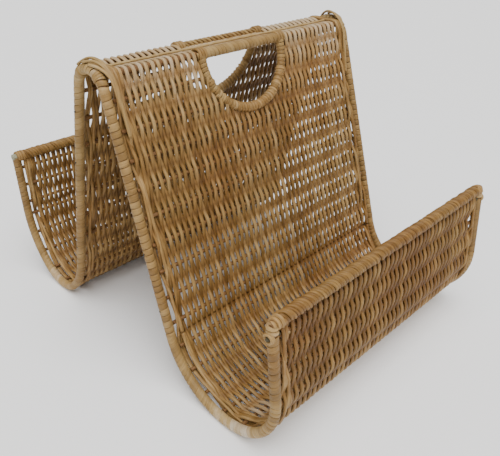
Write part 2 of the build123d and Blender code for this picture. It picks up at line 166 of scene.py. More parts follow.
class Profile:
    """Centre line of the side frames in (y, z), sampled by the distance along it."""

    def __init__(self, start):
        distance = 0.0
        heading = math.radians(-(90 + FRONT_LIP_LEAN))
        point = start
        rows = []
        self.span = {}
        for stretch, size, degrees in profile_runs():
            turn = math.radians(degrees)
            length = abs(size * turn) if turn else size
            steps = max(2, round(length / PROFILE_STEP))
            first = self.span.get(stretch, (distance, 0))[0]
            for share in np.arange(steps) / steps:
                y, z = self.along(point, heading, size, turn, share)
                rows.append((distance + share * length, y, z, heading + share * turn))
            point = self.along(point, heading, size, turn, 1.0)
            heading += turn
            distance += length
            self.span[stretch] = (first, distance)
        rows.append((distance, *point, heading))
        self.s, self.y, self.z, self.heading = np.array(rows).T
        self.length = distance

    @staticmethod
    def along(point, heading, size, turn, share):
        """Point at a share of a straight run of length size, or of a bend of radius size."""
        y, z = point
        if not turn:
            return y + math.cos(heading) * size * share, z + math.sin(heading) * size * share
        radius = math.copysign(size, turn)
        now = heading + turn * share
        return (y + (math.sin(now) - math.sin(heading)) * radius,
                z + (math.cos(heading) - math.cos(now)) * radius)

    def direction(self, s):
        """Unit vector along the profile at one distance."""
        heading = np.interp(s, self.s, self.heading)
        return np.array([0, math.cos(heading), math.sin(heading)])

    def normal(self, s):
        """Unit vectors to the upper side."""
        heading = np.interp(s, self.s, self.heading)
        return np.stack([np.zeros_like(heading), -np.sin(heading), np.cos(heading)], -1)

    def at(self, s, x, lift=0.0):
        """Points at distances s along the profile, raised by lift to its upper side."""
        base = np.stack([np.broadcast_to(x, s.shape), np.interp(s, self.s, self.y),
                         np.interp(s, self.s, self.z)], -1)
        return base + self.normal(s) * np.asarray(lift)[..., None]

    def nearest(self, y, z):
        """Distance along the profile and lift of a point in (y, z)."""
        i = int(np.argmin(np.hypot(self.y - y, self.z - z)))
        lift = math.cos(self.heading[i]) * (z - self.z[i]) - math.sin(self.heading[i]) * (y - self.y[i])
        return self.s[i], lift


def middle(node):
    """Middle of a CAD node's box."""
    low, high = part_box(node)
    return (low + high) / 2


border_front = middle("front_border_rod")
profile = Profile((border_front.y, border_front.z))
FRONT_TOP = profile.span["front_slope"][1]
BACK_TOP = profile.span["back_slope"][0]


# ======== The rods of the frame ========
def rods_in(node):
    """(distance along the profile, lift, radius) of each rod of a CAD node."""
    corners = np.array([vertex.co[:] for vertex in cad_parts[node].data.vertices])
    flat = np.unique(np.round(corners[:, 1:], 6), axis=0)
    marks = np.array([profile.nearest(y, z)[0] for y, z in flat])
    order = np.argsort(marks)
    gaps = np.where(np.diff(marks[order]) > ROD_SPACING_LEAST)[0] + 1
    found = []
    for group in np.split(order, gaps):
        low, high = flat[group].min(0), flat[group].max(0)
        s, lift = profile.nearest(*((low + high) / 2))
        found.append((s, lift, float((high - low).mean()) / 2))
    return found


CROSS_ROD_NODES = [f"cross_rods_{name}" for name in STRETCH_NAMES if name != "ridge"]
RIDGE_ROD_NODES = ["front_ridge_rod", "back_ridge_rod"]
rods = sorted(rod for node in CROSS_ROD_NODES + RIDGE_ROD_NODES for rod in rods_in(node))
rod_s, rod_lift, rod_radius = np.array(rods).T
rod_number = np.arange(len(rods))
front_ridge, back_ridge = (int(np.argmin(np.abs(rod_s - rods_in(node)[0][0]))) for node in RIDGE_ROD_NODES)
FRONT_RIDGE_S = rod_s[front_ridge]
BACK_RIDGE_S = rod_s[back_ridge]
RIDGE_MIDDLE = (FRONT_RIDGE_S + BACK_RIDGE_S) / 2
SHEET_LIFT = float(np.median(rod_lift))


# ======== Strands as meshes ========
def around(first_axis, second_axis, turn):
    """Unit vectors that turn from the first axis to the second."""
    return first_axis * np.cos(turn)[:, None] + second_axis * np.sin(turn)[:, None]


def line_along_x(centre, x):
    """Points at the given x on a line through centre."""
    return np.stack([x, np.full(len(x), centre.y), np.full(len(x), centre.z)], -1)


def every(axis):
    """The same axis at every distance, as a function of the distances."""
    return lambda s: np.broadcast_to(axis, (len(s), 3))


def wander(places, first, last, knots, size):
    """Random offsets at places, read between evenly spaced knots from first to last."""
    return np.interp(places, np.linspace(first, last, knots), rng.normal(0, size, knots))


def smoothed(values, window):
    """Running mean over a window of values, with the ends held."""
    padded = np.pad(values, window // 2, "edge")
    return np.convolve(padded, np.ones(window) / window, "valid")[:len(values)]


class Strands:
    """Gathers swept strands into one mesh, with each point's place along its strand."""

    SEED_STEP = 0.731             # from strand to strand, so that each has its own noise

    def __init__(self):
        self.co, self.quads, self.caps = [], [], []
        self.attributes = {"grain": [], "tone": [], "crest": [], "strand": []}
        self.count = 0

    def sweep(self, points, ups, half_width, half_height, tone, sides=STRAND_SIDES, crest=1.0,
              closed=True, section=None, start=0.0):
        """Sweep an oval, or a section of (across, up) shares, along points with given up directions."""
        n = len(points)
        tangent = np.gradient(points, axis=0)
        tangent /= np.linalg.norm(tangent, axis=1)[:, None]
        side = np.cross(tangent, ups)
        side /= np.linalg.norm(side, axis=1)[:, None]
        up = np.cross(side, tangent)
        if section is None:
            turn = np.linspace(0, 2 * math.pi, sides, endpoint=False)
            section = np.stack([np.cos(turn), np.sin(turn)], -1)
        across = np.broadcast_to(half_width, n)[:, None] * section[None, :, 0]
        raised = np.broadcast_to(half_height, n)[:, None] * section[None, :, 1]
        ring = points[:, None] + side[:, None] * across[..., None] + up[:, None] * raised[..., None]
        steps = np.linalg.norm(np.diff(points, axis=0), axis=1)
        along = start + np.concatenate([[0], np.cumsum(steps)])
        grain = np.stack([np.broadcast_to(along[:, None], across.shape), across, raised], -1)
        index = self.count + np.arange(across.size).reshape(across.shape)
        after = np.roll(index, -1, axis=1)
        self.co.append(ring.reshape(-1, 3))
        self.quads.append(np.stack([index[:-1], after[:-1], after[1:], index[1:]], -1).reshape(-1, 4))
        if closed:
            self.caps += [index[0][::-1], index[-1]]
        self.attributes["grain"].append(grain.reshape(-1, 3))
        for name, values in (("tone", tone), ("crest", crest)):
            values = np.broadcast_to(values, n)[:, None]
            self.attributes[name].append(np.broadcast_to(values, across.shape).reshape(-1))
        seed = len(self.attributes["strand"]) * self.SEED_STEP
        self.attributes["strand"].append(np.full(across.size, seed))
        self.count += across.size

    def make(self, name, material, slot, replaces=(), floor=None):
        """Turn the strands into a piece; no point lies below the floor where one is given."""
        co = np.concatenate(self.co)
        if floor is not None:
            co[:, 2] = np.maximum(co[:, 2], floor)
        quads = np.concatenate(self.quads)
        loops = np.concatenate([quads.reshape(-1)] + self.caps)
        sizes = np.array([4] * len(quads) + [len(cap) for cap in self.caps])
        starts = np.concatenate([[0], np.cumsum(sizes)[:-1]])
        mesh = bpy.data.meshes.new(name)
        mesh.vertices.add(len(co))
        mesh.vertices.foreach_set("co", co.astype(np.float32).ravel())
        mesh.loops.add(len(loops))
        mesh.loops.foreach_set("vertex_index", loops.astype(np.int32))
        mesh.polygons.add(len(sizes))
        mesh.polygons.foreach_set("loop_start", starts.astype(np.int32))
        mesh.polygons.foreach_set("use_smooth", np.ones(len(sizes), bool))
        mesh.update(calc_edges=True)
        for label, rows in self.attributes.items():
            kind, field = ("FLOAT_VECTOR", "vector") if label == "grain" else ("FLOAT", "value")
            layer = mesh.attributes.new(label, kind, "POINT")
            layer.data.foreach_set(field, np.concatenate(rows).astype(np.float32).ravel())
        mesh.validate()
        mesh.materials.append(material)
        piece = bpy.data.objects.new(name, mesh)
        bpy.context.scene.collection.objects.link(piece)
        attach(piece, "root")
        if replaces:
            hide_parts(*replaces)


# ======== Materials ========
SHINE = 0.28                  # old rattan has lost most of its gloss
BUMP = 0.35
BUMP_DEPTH = 0.25 * MM
FIBRE_SCALE = 1500            # per metre across a strand
FIBRE_STRETCH = 0.06          # and this share of it along the strand
PATCH_SCALE = 70
PATCH_AMOUNT = 0.9            # how far the patches move the tone, from darkest to palest
CLOUD_SCALE = 9
SEED_SPREAD = 37.0
TACK_NOISE_SCALE = 900
TONE_ONE = 0.68               # place of the tone 1 on the colour ramp; bleached strands lie past it
BLOTCH_TINT = (0.75, 0.52, 0.30, 1)
BLOTCH_AMOUNT = 0.5
WHITE = (1.0, 1.0, 1.0)
# Painted shade and dirt in the hollows, by the crest from 0 to 1.
HOLLOW_SHADE_AND_DIRT_TINTS = [(0.0, (0.42, 0.30, 0.19)), (0.55, (0.86, 0.80, 0.72)), (1.0, WHITE)]


class Surface:
    """A new material with a Principled shader, and short ways to add and link its nodes."""

    def __init__(self, name):
        self.material = bpy.data.materials.new(name)
        self.material.use_nodes = True
        self.nodes = self.material.node_tree.nodes
        self.links = self.material.node_tree.links
        self.nodes.clear()
        output = self.nodes.new("ShaderNodeOutputMaterial")
        self.shader = self.nodes.new("ShaderNodeBsdfPrincipled")
        self.links.new(self.shader.outputs["BSDF"], output.inputs["Surface"])

    def feed(self, value, socket):
        """Link another node's output to a socket, or set the socket to a value."""
        if isinstance(value, bpy.types.NodeSocket):
            self.links.new(value, socket)
        else:
            socket.default_value = value

    def attribute(self, name, output="Fac"):
        node = self.nodes.new("ShaderNodeAttribute")
        node.attribute_name = name
        return node.outputs[output]

    def object_place(self):
        return self.nodes.new("ShaderNodeTexCoord").outputs["Object"]

    def arithmetic(self, operation, *values):
        node = self.nodes.new("ShaderNodeMath")
        node.operation = operation
        for value, socket in zip(values, node.inputs):
            self.feed(value, socket)
        return node.outputs[0]

    def stretched(self, place, factors):
        node = self.nodes.new("ShaderNodeVectorMath")
        node.operation = "MULTIPLY"
        node.inputs[1].default_value = factors
        self.links.new(place, node.inputs[0])
        return node.outputs[0]

    def noise(self, place, scale, detail=3.0, seed=None):
        node = self.nodes.new("ShaderNodeTexNoise")
        node.inputs["Scale"].default_value = scale
        node.inputs["Detail"].default_value = detail
        if seed is not None:
            node.noise_dimensions = "4D"
            self.links.new(seed, node.inputs["W"])
        self.links.new(place, node.inputs["Vector"])
        return node.outputs["Fac"]

    def ramp(self, value, stops):
        node = self.nodes.new("ShaderNodeValToRGB")
        elements = node.color_ramp.elements
        while len(elements) < len(stops):
            elements.new(0.5)
        for element, (place, colour) in zip(elements, stops):
            element.position = place
            element.color = (*colour, 1)
        self.links.new(value, node.inputs["Fac"])
        return node.outputs["Color"]

    def mix(self, kind, factor, first, second):
        node = self.nodes.new("ShaderNodeMix")
        node.data_type = "RGBA"
        node.blend_type = kind
        factor_socket = next(s for s in node.inputs if s.name == "Factor" and s.enabled)
        first_socket, second_socket = (s for s in node.inputs if s.type == "RGBA")
        self.feed(factor, factor_socket)
        self.feed(first, first_socket)
        self.feed(second, second_socket)
        return next(s for s in node.outputs if s.type == "RGBA")

    def roughness_from(self, value, smoothest, roughest):
        node = self.nodes.new("ShaderNodeMapRange")
        node.inputs["To Min"].default_value = smoothest
        node.inputs["To Max"].default_value = roughest
        self.links.new(value, node.inputs["Value"])
        self.links.new(node.outputs["Result"], self.shader.inputs["Roughness"])

    def bump_from(self, value):
        node = self.nodes.new("ShaderNodeBump")
        node.inputs["Strength"].default_value = BUMP
        node.inputs["Distance"].default_value = BUMP_DEPTH
        self.links.new(value, node.inputs["Height"])
        self.links.new(node.outputs["Normal"], self.shader.inputs["Normal"])


def rattan(name, dark, mid, light, pale=None, streak=0.5, roughness=(0.42, 0.62), by_strand=True,
           hollows=True):
    """Rattan: long fibres, a tone of its own for each strand, blotches, and painted shade with dirt in the
    hollows.
    """
    surface = Surface(name)
    place = surface.attribute("grain", "Vector") if by_strand else surface.object_place()
    seed = surface.arithmetic("MULTIPLY", surface.attribute("strand"), SEED_SPREAD)
    fibres = surface.noise(surface.stretched(place, (FIBRE_STRETCH, 1, 1)), FIBRE_SCALE, 4, seed)
    patches = surface.noise(place, PATCH_SCALE, 3, seed)
    clouds = surface.noise(surface.object_place(), CLOUD_SCALE, 2)

    patch_tone = surface.arithmetic("MULTIPLY_ADD", patches, PATCH_AMOUNT, -PATCH_AMOUNT / 2)
    tone = surface.arithmetic("ADD", surface.attribute("tone"), patch_tone)
    ramp_place = surface.arithmetic("MULTIPLY", tone, TONE_ONE)
    tones = surface.ramp(ramp_place, [(0.0, dark), (0.35, mid), (TONE_ONE, light), (1.0, pale or light)])
    streaks = surface.ramp(fibres, [(0.30, (1 - streak,) * 3), (0.62, WHITE)])
    colour = surface.mix("MULTIPLY", 1.0, tones, streaks)
    tinted = surface.mix("MULTIPLY", 1.0, colour, BLOTCH_TINT)
    blotches = surface.ramp(clouds, [(0.42, (0.0, 0.0, 0.0)), (0.68, (BLOTCH_AMOUNT,) * 3)])
    colour = surface.mix("MIX", blotches, colour, tinted)
    # Painted shade and dirt: darker where the crest dips into a hollow.
    if hollows:
        hollow_shade_and_dirt = surface.ramp(surface.attribute("crest"), HOLLOW_SHADE_AND_DIRT_TINTS)
        colour = surface.mix("MULTIPLY", 1.0, colour, hollow_shade_and_dirt)
    surface.feed(colour, surface.shader.inputs["Base Color"])
    surface.shader.inputs["Specular IOR Level"].default_value = SHINE
    surface.roughness_from(patches, *roughness)
    surface.bump_from(fibres)
    return surface.material


def tack_metal():
    """Dull, nearly black iron."""
    surface = Surface("tack")
    rust = surface.noise(surface.object_place(), TACK_NOISE_SCALE)
    colour = surface.ramp(rust, [(0.3, (0.02, 0.018, 0.015)), (0.7, (0.09, 0.07, 0.05))])
    surface.feed(colour, surface.shader.inputs["Base Color"])
    surface.shader.inputs["Metallic"].default_value = 0.7
    surface.shader.inputs["Roughness"].default_value = 0.5
    return surface.material


strand_material = rattan("woven_strand", (0.19, 0.096, 0.020), (0.33, 0.192, 0.058), (0.46, 0.300, 0.122),
                         pale=(0.62, 0.49, 0.32))
cane_material = rattan("flat_cane", (0.22, 0.130, 0.042), (0.32, 0.200, 0.068), (0.45, 0.305, 0.125),
                       pale=(0.66, 0.55, 0.40), streak=0.35)
rod_material = rattan("rattan_rod", (0.20, 0.100, 0.036), (0.31, 0.165, 0.062), (0.42, 0.25, 0.105),
                      by_strand=False, hollows=False)
end_material = rattan("cut_end", (0.10, 0.10, 0.07), (0.22, 0.22, 0.14), (0.42, 0.43, 0.31), streak=0.6,
                      roughness=(0.7, 0.9), by_strand=False)
tack_material = tack_metal()

for node_name, cad_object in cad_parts.items():
    cad_object.data.materials.clear()
    cad_object.data.materials.append(tack_material if node_name == "wrap_tacks" else rod_material)

# ======== Wear, and painted shade on the front lip ===
front_half = profile.s < RIDGE_MIDDLE
FRONT_PALE_PLACE = profile.s[front_half][np.argmin(profile.z[front_half])] - TROUGH_SHIFT
BACK_BOTTOM = profile.s[~front_half][np.argmin(profile.z[~front_half])]


def near(s, place, reach):
    """1 at a place along the profile, a third at its reach and nearly 0 at twice that."""
    return np.exp(-((s - place) / reach) ** 2)


def cane_wear(s):
    """Change of the cane's tone along a side frame: rubbed pale at the ridge and where it stands."""
    spots = {"ridge": RIDGE_MIDDLE, "front": FRONT_PALE_PLACE, "back": BACK_BOTTOM}
    return sum(CANE_WEAR[spot] * near(s, place, CANE_WEAR_REACH) for spot, place in spots.items())


def worn_and_shaded_tone(tone, s):
    """A strand's tone along the profile: bleached and more even over the ridge, and darkened on the front
    lip as painted shade.
    """
    evened = BLEACHED_TONE + RIDGE_EVENNESS * (MIDDLE_TONE - tone)
    worn = tone + near(s, RIDGE_MIDDLE, BLEACHED_REACH) * evened
    worn = worn + TROUGH_TONE * near(s, FRONT_PALE_PLACE, TROUGH_REACH)
    lip_end = profile.span["front_lip"][1] + LIP_TONE_END
    # Painted shade: the front lip is darkened, fading out past its stretch.
    return worn + LIP_PAINTED_SHADE * np.clip((lip_end - s) / LIP_TONE_FADE, 0, 1)


# ======== The weave ========
weave_marks = np.concatenate([[0], rod_s, [profile.length]])


def weave_samples():
    """Distances along the profile: some steps between each two rods, and the ends of the stretches."""
    steps = [np.linspace(first, last, STEPS_PER_ROD, endpoint=False)
             for first, last in zip(weave_marks[:-1], weave_marks[1:])]
    limits = [limit for span in profile.span.values() for limit in span]
    return np.unique(np.round(np.concatenate(steps + [limits]), 7))


samples = weave_samples()


def weave_lift(sides, half_height):
    """Lift of a strand at the samples, and how near it is to a rod there.

    It lies on the given side of each rod: 1 is the upper side and -1 the lower."""
    heights = np.concatenate([[0], sides * (ROD_HUG * rod_radius + half_height), [0]])
    base = np.interp(samples, weave_marks, np.concatenate([[0], rod_lift, [0]]))
    cell = np.clip(np.searchsorted(weave_marks, samples, side="right") - 1, 0, len(weave_marks) - 2)
    share = (samples - weave_marks[cell]) / (weave_marks[cell + 1] - weave_marks[cell])
    before, after = heights[cell], heights[cell + 1]
    swing = np.cos(math.pi * share)
    crossing = before * np.clip(swing, 0, 1) ** BEND_SHARPNESS \
        + after * np.clip(-swing, 0, 1) ** BEND_SHARPNESS
    same_side = before + (after - before) * (1 - swing) / 2
    lift = base + np.where(before * after < 0, crossing, same_side)
    in_valley = (samples > FRONT_RIDGE_S) & (samples < BACK_RIDGE_S)
    return lift - np.where(in_valley, VALLEY_SAG * np.sin(math.pi * share), 0), np.abs(swing)


def past_top(x, radius):
    """How far past the slope's top a circle round the hoop's middle lies at the given x.

    Where it lies below the top, that is negative."""
    return HOOP_MIDDLE - math.sqrt(max(radius ** 2 - x ** 2, 0.0))


def weaver_runs(x):
    """Parts of the profile that a weaver covers, as pairs of distances."""
    outer = HOOP_BEND + HOOP_CANE_OUTER
    if abs(x) > outer:
        return [(0, profile.length)]
    past = past_top(x, HOOP_BEND if abs(x) < HOOP_BEND else outer)
    over = 0 if abs(x) < GRIP_WOUND_HALF else OVER_RIDGE
    return [(0, FRONT_TOP + past), (FRONT_RIDGE_S - over, BACK_RIDGE_S + over),
            (BACK_TOP - past, profile.length)]


weaver_share = np.linspace(0, 1, WEAVERS)
weaver_spread = weaver_share + PITCH_GROWTH * weaver_share * (weaver_share - 1)
weaver_x = WEAVE_HALF_WIDTH * (2 * weaver_spread - 1)
weaver_gap = np.gradient(weaver_x)
weaver_half_width = STRAND_HALF_WIDTH * weaver_gap / weaver_gap.mean() * (1 + RIGHT_WIDENING * weaver_share)


def weave():
    """All weavers, each split where one stretch of the sheet meets the next."""
    stretches = {name: Strands() for name in STRETCH_NAMES}
    for i, x in enumerate(weaver_x):
        tone = rng.uniform(*WEAVER_TONES)
        drift = wander(samples, 0, profile.length, WEAVER_KNOTS, WEAVER_DRIFT)
        sides = np.where((rod_number + i) % 2 == 0, 1.0, -1.0)
        if abs(x) < GRIP_WOUND_HALF:
            sides[[front_ridge, back_ridge]] = BETWEEN_GRIPS
        half_heights = STRAND_HALF_HEIGHT * rng.normal(1.0, HEIGHT_VARIATION, len(rods))
        lift, near_rod = weave_lift(sides, half_heights)
        for first, last in weaver_runs(x):
            for name, strands in stretches.items():
                low = max(profile.span[name][0], first)
                high = min(profile.span[name][1], last)
                if high - low < SHORTEST_RUN:
                    continue
                inside = (samples > low + SAME_PLACE) & (samples < high - SAME_PLACE)
                s = np.concatenate([[low], samples[inside], [high]])
                run_near = np.interp(s, samples, near_rod)
                width = BETWEEN_RODS_WIDTH + (AT_ROD_WIDTH - BETWEEN_RODS_WIDTH) * run_near
                crest = BETWEEN_RODS_CREST + (1 - BETWEEN_RODS_CREST) * run_near
                points = profile.at(s, x + np.interp(s, samples, drift), np.interp(s, samples, lift))
                strands.sweep(points, profile.normal(s), weaver_half_width[i] * width, STRAND_HALF_HEIGHT,
                              worn_and_shaded_tone(tone, s), crest=crest, closed=False, start=s[0])
    for name, strands in stretches.items():
        strands.make(f"woven_{name}", strand_material, "woven_strand", [f"weave_{name}"])


weave()

# ======== Edge strands beside the frames ========
# Each is (inset from the frame and half width, in mm, number of rods in one repeat, how many of them
# it passes over, first rod)
EDGE_STRANDS = ((16.2, 2.1, 4, 3, 0), (12.9, 2.1, 5, 4, 2), (9.6, 1.9, 4, 2, 1), (11.2, 2.1, 3, 1, 1),
                (15.2, 2.0, 3, 1, 2))
EDGE_KNOTS = 36
EDGE_SWAY = 0.8 * MM
EDGE_TONES = (0.4, 0.9)
EDGE_LEAST_CREST = 0.5
OVAL = 0.85                   # height of a thick strand for its width


def edge_strands(hand, out):
    """Strands that run lengthwise between the sheet and a side frame."""
    strands = Strands()
    for inset, half_width, repeat, over, first in EDGE_STRANDS:
        sides = np.where((rod_number + first) % repeat < over, 1.0, -1.0)
        sides[[front_ridge, back_ridge]] = 1.0
        lift, near_rod = weave_lift(sides, half_width * MM)
        sway = wander(samples, 0, profile.length, EDGE_KNOTS, EDGE_SWAY)
        points = profile.at(samples, out * (HALF_SPAN - inset * MM) + sway, lift)
        crest = EDGE_LEAST_CREST + (1 - EDGE_LEAST_CREST) * near_rod
        strands.sweep(points, profile.normal(samples), half_width * MM, half_width * OVAL * MM,
                      rng.uniform(*EDGE_TONES), crest=crest)
    strands.make(f"{hand}_edge_weavers", strand_material, "woven_strand", [f"{hand}_edge_strands"],
                 floor=0.0)


VALLEY_STRAND_END = 6 * MM    # short of the frames
VALLEY_STRAND_PLACE = Vector((0, -3.0 * MM, 3.4 * MM))    # from the middle of the two ridge rods
VALLEY_STRAND_SIZE = (2.0 * MM, 1.4 * MM)
VALLEY_STRAND_STEP = 4 * MM
VALLEY_STRAND_KNOTS = 24
VALLEY_STRAND_SWAY = 0.5 * MM


def valley_strand():
    """The straight strand laid in the valley between the two ridge rods."""
    strands = Strands()
    half_length = HALF_SPAN - VALLEY_STRAND_END
    x = np.arange(-half_length, half_length, VALLEY_STRAND_STEP)
    centre = (middle("front_ridge_rod") + middle("back_ridge_rod")) / 2 + VALLEY_STRAND_PLACE
    points = line_along_x(centre, x)
    points[:, 1] += wander(x, x[0], x[-1], VALLEY_STRAND_KNOTS, VALLEY_STRAND_SWAY)
    strands.sweep(points, every(Z_AXIS)(x), *VALLEY_STRAND_SIZE, tone=1.0)
    strands.make("ridge_valley_strand", cane_material, "flat_cane")


for hand, out in HANDS:
    edge_strands(hand, out)
valley_strand()

# ======== Flat cane wound on rods ========
CANE_EDGE = [(1.0, 0.0), (0.98, 0.66), (0.82, 0.93), (0.3, 1.0)]      # half of the strip's outline
CANE_SECTION = np.array([(-across, up) for across, up in CANE_EDGE] + CANE_EDGE[::-1])
TURN_STEPS = 18
STRIP_VARIATION = 0.06
STRIP_COVER = (0.455, 0.495)  # half width of the strip for the pitch, so a fine gap shows
STRIP_SWELL = 0.05            # the strip's thickness changes by this share
SWELL_RATE = 0.37             # times in each turn
CANE_TONES = (0.2, 0.9)
SPARE_TURN = 0.2              # share of a pitch wound past each end and pressed back onto it


def wind(strands, centre, out_axis, side_axis, start, length, inner, outer, strip, tilt,
         tones=CANE_TONES, wear=None):
    """Wind a flat strip round a line, each turn with a pitch, a width and a tone of its own.

    centre, out_axis and side_axis are functions of the distance along the line."""
    s, angle, tone, width = [], [], [], []
    step_share = np.arange(TURN_STEPS) / TURN_STEPS
    place = start - strip * SPARE_TURN
    turn = rng.uniform(0, 2 * math.pi)
    while place < start + length + strip * SPARE_TURN:
        pitch = strip * rng.normal(1.0, STRIP_VARIATION)
        s.extend(place + pitch * step_share)
        angle.extend(turn + 2 * math.pi * step_share)
        tone.extend([rng.uniform(*tones) + (wear(place) if wear else 0.0)] * TURN_STEPS)
        width.extend([pitch * rng.uniform(*STRIP_COVER)] * TURN_STEPS)
        place += pitch
        turn += 2 * math.pi
    s, angle = np.array(s), np.array(angle)
    at = np.clip(s + tilt * np.sin(angle - angle[0]), start, start + length)
    radial = around(out_axis(at), side_axis(at), angle)
    height = (outer - inner) * (1 + STRIP_SWELL * np.sin(angle * SWELL_RATE + turn))
    strands.sweep(centre(at) + radial * inner, radial, smoothed(width, TURN_STEPS), height,
                  smoothed(tone, TURN_STEPS), section=CANE_SECTION, start=rng.uniform(0, 5))


# Width of the strip and how far a turn leans, in mm, and the range of its tones
# The cane on both lips has the darkest tones, as painted shade.
FRAME_CANE = {"lip": (7.6, 0.8, (0.0, 0.5)), "trough": (5.6, 2.2, (0.1, 0.75)),
              "slope": (7.3, 0.9, (0.1, 0.85)), "ridge": (5.4, 1.8, (0.2, 0.8))}
FRONT_CANE_START = 15.5 * MM  # from the front end of the profile
BACK_CANE_END = 4.2 * MM      # from its back end


def frame_winding(hand, out, name):
    """Cane wound on one stretch of a side frame."""
    first = max(profile.span[name][0], FRONT_CANE_START)
    last = min(profile.span[name][1], profile.length - BACK_CANE_END)
    strip, tilt, tones = FRAME_CANE[name.split("_")[-1]]
    strands = Strands()
    wind(strands, lambda s: profile.at(s, out * HALF_SPAN), profile.normal, every(X_AXIS), first,
         last - first, FRAME_CANE_INNER, FRAME_CANE_OUTER, strip * MM, tilt * MM, tones, cane_wear)
    strands.make(f"{hand}_wound_cane_{name}", cane_material, "flat_cane", [f"{hand}_cane_wrap_{name}"],
                 floor=0.0)


for hand, out in HANDS:
    for name in STRETCH_NAMES:
        frame_winding(hand, out, name)


# ======== Hoops and grips ========
class HoopLine:
    """Centre line of a handle hoop, in the plane of its slope: a leg, half a circle and a leg."""

    length = HOOP_BOW + 2 * HOOP_LEG

    def __init__(self, side):
        self.top = FRONT_TOP if side == "front" else BACK_TOP
        self.up_slope = profile.direction(self.top) * (1 if side == "front" else -1)

    def turn(self, s):
        return np.clip((s - HOOP_LEG) / HOOP_BEND, 0, math.pi)

    def points(self, s):
        turn = self.turn(s)
        leg = np.maximum(HOOP_LEG - s, 0) + np.maximum(s - HOOP_LEG - HOOP_BOW, 0)
        up = HOOP_MIDDLE - HOOP_BEND * np.sin(turn) + leg
        base = profile.at(np.full(len(s), self.top), HOOP_BEND * np.cos(turn), SHEET_LIFT)
        return base + up[:, None] * self.up_slope

    def out(self, s):
        return around(X_AXIS, -self.up_slope, self.turn(s))

    def normal(self, s):
        return every(profile.normal(self.top))(s)


def coil_strand(strands, centre, x, angle, radius, half_width, tone):
    """Strand wound round an axis along X, at the given x, angle and radius for each of its points."""
    radial = around(Y_AXIS, Z_AXIS, angle)
    points = line_along_x(centre, x) + radial * np.asarray(radius)[..., None]
    strands.sweep(points, radial, half_width, half_width * OVAL, tone, crest=0.9)


HOOP_STRIP = 4.6 * MM
HOOP_TILT = 0.9 * MM          # how far a turn of the cane leans
HOOP_LOOP_REACH = 0.93        # the loops stop short of the hoop's legs
HOOP_LOOP_STEPS = 28
HOOP_LOOP_TURNS = 1.1
HOOP_LOOP_SHIFT = 0.5 * MM    # spread of their places along the hoop
HOOP_LOOP_ADVANCE = (2.4 * MM, 0.9 * MM)      # mean and spread of how far one runs along the hoop
HOOP_LOOP_HALF_WIDTHS = (1.5 * MM, 1.9 * MM)
HOOP_LOOP_TONES = (0.3, 1.1)
HOOP_LOOP_START = 0.5         # radians from the hoop's outer side
HOOP_LOOP_RADIUS = 5.0 * MM
HOOP_LOOP_HALF_HEIGHT = 1.1 * MM
LEG_COIL_LENGTH = 11 * MM
LEG_COIL_STEPS = 70
LEG_COIL_TURNS = 2.8
LEG_COIL_RADIUS = 5.9 * MM
LEG_COIL_HALF_WIDTH = 1.9 * MM
LEG_COIL_TONES = (0.5, 1.0)
GRIP_STRIP = 5.8 * MM
GRIP_TILT = 1.6 * MM
GRIP_COILS = 3
GRIP_COIL_LEAD = 20 * MM
GRIP_COIL_RADIUS = 4.3 * MM
GRIP_COIL_HALF_WIDTH = 1.75 * MM
GRIP_COIL_KNOTS = 20
GRIP_COIL_WOBBLE = 0.12       # radians
GRIP_COIL_TONES = (0.4, 1.0)
COIL_STEP = 1.0 * MM


def hoop_winding(side, hoop):
    """Cane wound on a handle hoop."""
    strands = Strands()
    wind(strands, hoop.points, hoop.out, hoop.normal, 0.0, hoop.length, HOOP_CANE_INNER, HOOP_CANE_OUTER,
         HOOP_STRIP, HOOP_TILT)
    strands.make(f"{side}_hoop_winding", cane_material, "flat_cane", [f"{side}_hoop_wrap"])


def hoop_loops(side, hoop):
    """The weavers' loops round a hoop, and a coil on the ridge rod over each of its legs."""
    strands = Strands()
    t = np.linspace(0, 1, HOOP_LOOP_STEPS)
    for x in weaver_x[np.abs(weaver_x) < HOOP_BEND * HOOP_LOOP_REACH]:
        place = HOOP_LEG + HOOP_BEND * math.acos(x / HOOP_BEND)
        at = place + rng.normal(0, HOOP_LOOP_SHIFT) + (t - 0.5) * rng.normal(*HOOP_LOOP_ADVANCE)
        turn = 2 * math.pi * HOOP_LOOP_TURNS * t + HOOP_LOOP_START
        radial = around(hoop.out(at), hoop.normal(at), turn)
        strands.sweep(hoop.points(at) + radial * HOOP_LOOP_RADIUS, radial,
                      rng.uniform(*HOOP_LOOP_HALF_WIDTHS), HOOP_LOOP_HALF_HEIGHT,
                      rng.uniform(*HOOP_LOOP_TONES))
    t = np.linspace(0, 1, LEG_COIL_STEPS)
    for x in (-HOOP_BEND, HOOP_BEND):
        coil_strand(strands, middle(f"{side}_ridge_rod"), x + (t - 0.5) * LEG_COIL_LENGTH,
                    2 * math.pi * LEG_COIL_TURNS * t, LEG_COIL_RADIUS, LEG_COIL_HALF_WIDTH,
                    rng.uniform(*LEG_COIL_TONES))
    strands.make(f"{side}_hoop_loops", strand_material, "woven_strand")


